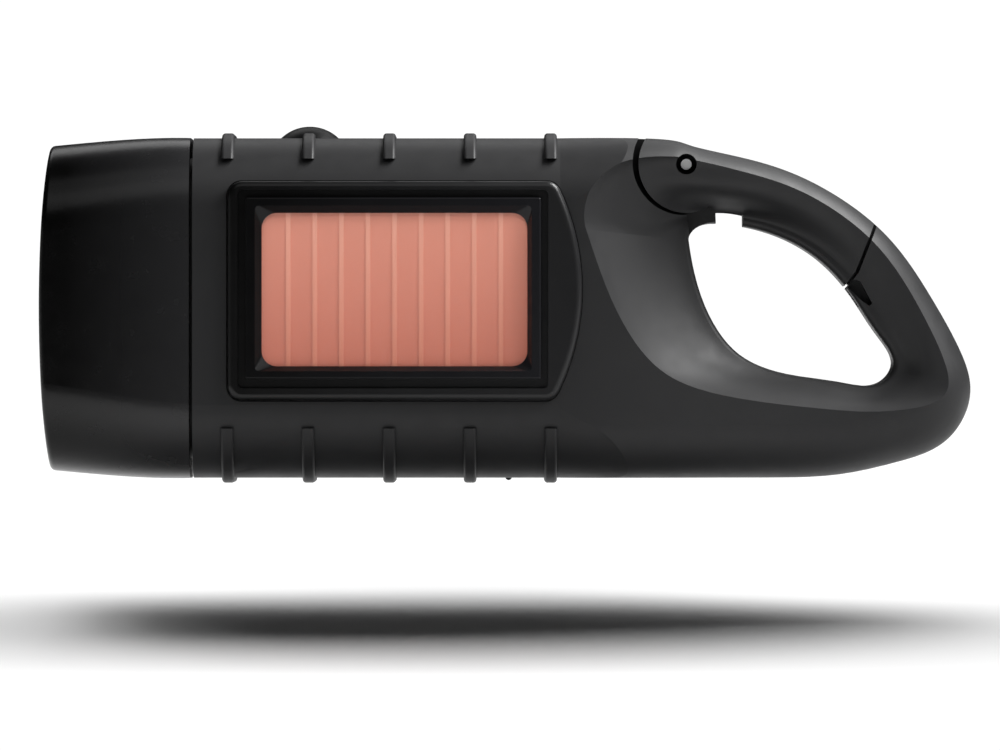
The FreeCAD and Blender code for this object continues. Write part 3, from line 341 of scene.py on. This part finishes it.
def make_camera():
    """A long lens, level with the torch and square to its front."""
    data = bpy.data.cameras.new("camera")
    data.lens = data.sensor_width * CAMERA_DISTANCE / VIEW_WIDTH
    data.clip_end = CAMERA_REACH
    camera = bpy.data.objects.new("camera", data)
    bpy.context.scene.collection.objects.link(camera)
    camera.location = VIEW_CENTRE + Vector((0, -CAMERA_DISTANCE, 0))
    look_at(camera, VIEW_CENTRE)
    bpy.context.scene.camera = camera


def floor_height(y):
    """Level in front and behind, with a smooth rise between that is steepest under the torch."""
    share = max(-1.0, min(1.0, y / RAMP_HALF))
    return FLOOR_Z + RAMP_SLOPE * RAMP_HALF * (1.5 * share - 0.5 * share ** 3) / 1.5


def make_floor():
    """A pale floor with a gentle ramp under the torch, so that its shadow shows in a level view."""
    steps = [RAMP_HALF * number / RAMP_STEPS for number in range(-RAMP_STEPS, RAMP_STEPS + 1)]
    stations = [FLOOR_FRONT] + steps + [FLOOR_BACK]
    verts = [(x, y, floor_height(y)) for y in stations for x in (-FLOOR_HALF, FLOOR_HALF)]
    faces = [(2 * i, 2 * i + 1, 2 * i + 3, 2 * i + 2) for i in range(len(stations) - 1)]
    mesh = bpy.data.meshes.new("floor")
    mesh.from_pydata(verts, [], faces)
    for face in mesh.polygons:
        face.use_smooth = True
    floor = bpy.data.objects.new("floor", mesh)
    bpy.context.scene.collection.objects.link(floor)
    material, _, shader = new_material("floor_paint", PAINT, 0.9)
    shader.inputs["Specular IOR Level"].default_value = 0.0
    mesh.materials.append(material)
    return floor


def linked(light, things, only_things):
    """Lets a light reach these things alone, or everything but them."""
    group = bpy.data.collections.new(light.name + "_reach")
    for thing in things:
        group.objects.link(thing)
    light.light_linking.receiver_collection = group
    for reach in group.collection_objects:
        reach.light_linking.link_state = "INCLUDE" if only_things else "EXCLUDE"


def softbox(name, azimuth, elevation, size, power):
    """A soft light aimed at the torch; azimuth 0 is the camera's side, 90 is the clip's side."""
    data = bpy.data.lights.new(name, "AREA")
    data.shape = "RECTANGLE"
    data.size, data.size_y = size
    data.energy = power
    light = bpy.data.objects.new(name, data)
    around, up = math.radians(azimuth), math.radians(elevation)
    level = math.cos(up) * LIGHT_DISTANCE
    light.location = (level * math.sin(around), -level * math.cos(around), LIGHT_DISTANCE * math.sin(up))
    look_at(light, LIGHT_TARGET)
    bpy.context.scene.collection.objects.link(light)
    return light


def floor_sun(name, lean, strength, floor):
    """One of the suns that light the floor alone and draw the torch's soft shadow on it."""
    data = bpy.data.lights.new(name, "SUN")
    data.energy = strength
    data.angle = SUN_WIDTH
    sun = bpy.data.objects.new(name, data)
    sun.rotation_euler = (-SUN_TILT, lean, 0)
    bpy.context.scene.collection.objects.link(sun)
    linked(sun, [floor], True)


def make_light(floor):
    for name, azimuth, elevation, size, power in SOFTBOXES:
        linked(softbox(name, azimuth, elevation, size, power), [floor], False)
    linked(softbox(*PANEL_LIGHT), [nodes["solar_cell"], nodes["cell_fingers"]], True)
    for number, lean in enumerate(SUN_LEANS):
        floor_sun(f"floor_sun_{number}", math.radians(lean), FLOOR_SUN / len(SUN_LEANS), floor)


def make_world():
    """White to look at, dim as light."""
    world = bpy.data.worlds.new("studio")
    bpy.context.scene.world = world
    world.use_nodes = True
    tree = world.node_tree
    background = tree.nodes["Background"]
    background.inputs["Color"].default_value = WHITE
    path = tree.nodes.new("ShaderNodeLightPath")
    level = tree.nodes.new("ShaderNodeMapRange")
    level.inputs["To Min"].default_value = WORLD_LIGHT
    level.inputs["To Max"].default_value = WORLD_SEEN
    tree.links.new(path.outputs["Is Camera Ray"], level.inputs["Value"])
    tree.links.new(level.outputs["Result"], background.inputs["Strength"])


make_camera()
make_light(make_floor())
make_world()
bpy.context.scene.view_settings.view_transform = "Standard"
